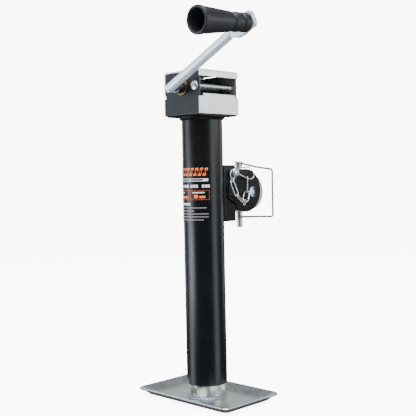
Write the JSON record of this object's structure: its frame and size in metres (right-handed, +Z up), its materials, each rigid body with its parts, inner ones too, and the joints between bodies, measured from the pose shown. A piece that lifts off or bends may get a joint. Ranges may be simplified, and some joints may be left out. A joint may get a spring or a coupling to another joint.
{
  "type": "trailer_tongue_jack",
  "caption": "Black side-wind trailer tongue jack with a bright gear-case cover, crank handle, swivel pipe mount with lock pin and chain, and a rectangular steel foot.",
  "frame": {"origin": "Centre of the foot's bottom face, on the tube's axis.", "axes": "+Z up along the tube; the crank is on the -Y side, the trailer mount on the +Y side and the crank arm points towards +X."},
  "size_m": [0.2498, 0.2962, 0.5144],
  "materials": {
    "black_paint": "gloss black powder coat",
    "zinc_plate": "bright zinc plate",
    "bare_steel": "oiled bare steel",
    "galvanised_foot": "zinc-plated pressed sheet",
    "sintered_bronze": "sintered bronze",
    "grip_plastic": "satin black moulding",
    "label_film": "printed film"
  },
  "bodies": {
    "root": {"outer_tube": "black_paint", "head_weld": "black_paint", "gear_case": "black_paint", "case_cover": "zinc_plate", "front_plate": "zinc_plate", "rear_plate": "zinc_plate", "cross_pin_front": "zinc_plate", "cross_pin_rear": "zinc_plate", "shaft_bush_near": "sintered_bronze", "shaft_bush_far": "sintered_bronze", "thrust_race_lower": "bare_steel", "thrust_ball_ring": "bare_steel", "thrust_race_upper": "bare_steel", "mount_bracket": "black_paint", "front_gusset": "black_paint", "rear_gusset": "black_paint", "mount_sleeve": "zinc_plate", "swivel_plate": "zinc_plate", "mount_disc": "black_paint", "chain_rivet": "zinc_plate", "chain_link_1": "zinc_plate", "chain_link_2": "zinc_plate", "chain_link_3": "zinc_plate", "chain_link_4": "zinc_plate", "chain_link_5": "zinc_plate", "chain_link_6": "zinc_plate", "chain_link_7": "zinc_plate", "pin_ring": "zinc_plate", "tube_label": "label_film"},
    "crank": {"crank_shaft": "bare_steel", "shaft_clip": "bare_steel", "drive_pinion": "bare_steel", "crank_arm": "zinc_plate", "arm_paddle": "zinc_plate", "grip_bolt": "zinc_plate"},
    "grip": {"crank_grip": "grip_plastic"},
    "screw": {"lead_screw": "bare_steel", "bevel_gear": "bare_steel"},
    "ram": {"drop_tube": "zinc_plate", "screw_nut": "sintered_bronze", "foot_weld": "zinc_plate", "foot_plate": "galvanised_foot"},
    "pin": {"lock_pin": "zinc_plate"},
    "bail": {"pin_bail": "zinc_plate"}
  },
  "joints": [
    {"name": "crank_turn", "type": "hinge", "parent": "root", "child": "crank", "pos_m": [0, 0, 0.4365], "axis": [0, -1, 0], "range_deg": [0, 30480]},
    {"name": "screw_turn", "type": "hinge", "parent": "root", "child": "screw", "pos_m": [0, 0, 0.2], "axis": [0, 0, 1], "range_deg": [-1, 15241]},
    {"name": "ram_slide", "type": "slide", "parent": "root", "child": "ram", "axis": [0, 0, -1], "range_m": [-0.00001, 0.25401]},
    {"name": "grip_spin", "type": "hinge", "parent": "crank", "child": "grip", "pos_m": [0.14411, -0.06147, 0.4999], "axis": [-0.0057, -0.9969, -0.0778], "continuous": true},
    {"name": "pin_turn", "type": "hinge", "parent": "root", "child": "pin", "pos_m": [-0.002, 0.0764, 0.292], "axis": [0, 0, 1], "range_deg": [-60, 60]},
    {"name": "bail_swing", "type": "hinge", "parent": "pin", "child": "bail", "pos_m": [-0.002, 0.0764, 0.3313], "axis": [1, 0, 0], "range_deg": [0, 110]}
  ],
  "couplings": [
    {"joint": "screw_turn", "follows": "crank_turn", "ratio": 0.5},
    {"joint": "ram_slide", "follows": "crank_turn", "m_per_rad": 0.00047746}
  ]
}
